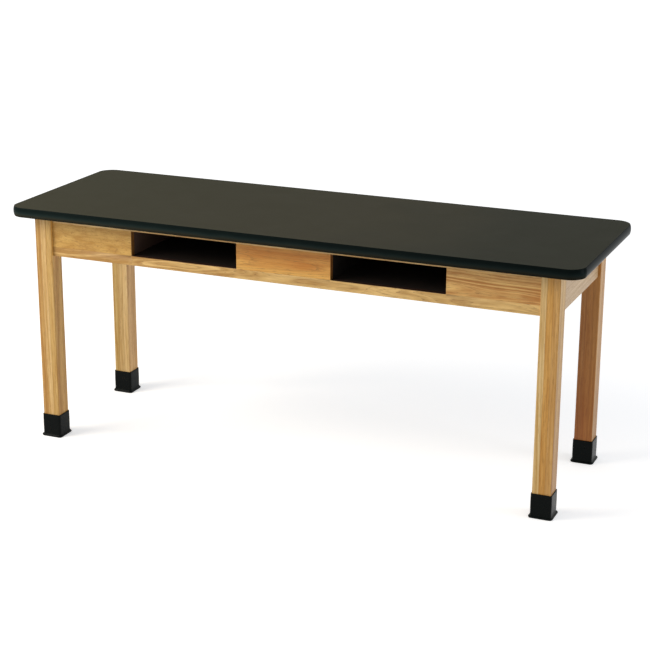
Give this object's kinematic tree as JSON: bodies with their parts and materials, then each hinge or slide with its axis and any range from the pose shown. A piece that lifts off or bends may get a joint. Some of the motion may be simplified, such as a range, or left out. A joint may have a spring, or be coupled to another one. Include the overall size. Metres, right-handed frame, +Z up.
{
  "type": "science lab table",
  "caption": "Oak laboratory table with a black rounded worktop, open book compartments in its front apron, square bolted legs and black rubber boots.",
  "frame": {"origin": "middle of the footprint, on the floor", "axes": "+X along the length, to the right of someone at the front; -Y the front, with the compartments' openings; +Z up"},
  "size_m": [1.8288, 0.6096, 0.762],
  "materials": {
    "oak": "clear satin varnish over open-grained oak",
    "beech": "raw turned beech",
    "particle_board": "raw pressed wood particles",
    "black_laminate": "fine matt chemical-resistant laminate",
    "brown_backer": "unsanded resin paper backer",
    "black_edging": "satin moulded edge band",
    "black_rubber": "moulded matt rubber",
    "black_board": "black faced board",
    "zinc_steel": "zinc plate"
  },
  "bodies": {
    "root": {"brace_screws": "zinc_steel", "cleat_screws": "zinc_steel", "compartment_cleats": "oak", "compartment_screws": "zinc_steel", "cross_rail": "oak", "cross_rail_dowels": "beech", "front_bottom_rail": "oak", "front_centre_panel": "oak", "front_left_boot": "black_rubber", "front_left_corner_brace": "zinc_steel", "front_left_leg": "oak", "front_left_panel": "oak", "front_right_boot": "black_rubber", "front_right_corner_brace": "zinc_steel", "front_right_leg": "oak", "front_right_panel": "oak", "front_top_rail": "oak", "hanger_bolt_nuts": "zinc_steel", "hanger_bolt_washers": "zinc_steel", "hanger_bolts": "zinc_steel", "left_compartment_back": "black_board", "left_compartment_floor": "black_board", "left_compartment_inner_side": "black_board", "left_compartment_outer_side": "black_board", "left_end_apron": "oak", "rear_apron": "oak", "rear_left_boot": "black_rubber", "rear_left_corner_brace": "zinc_steel", "rear_left_leg": "oak", "rear_right_boot": "black_rubber", "rear_right_corner_brace": "zinc_steel", "rear_right_leg": "oak", "right_compartment_back": "black_board", "right_compartment_floor": "black_board", "right_compartment_inner_side": "black_board", "right_compartment_outer_side": "black_board", "right_end_apron": "oak", "worktop_backer": "brown_backer", "worktop_clip_screws": "zinc_steel", "worktop_clips": "zinc_steel", "worktop_core": "particle_board", "worktop_edge_band": "black_edging", "worktop_laminate": "black_laminate"}
  },
  "joints": []
}
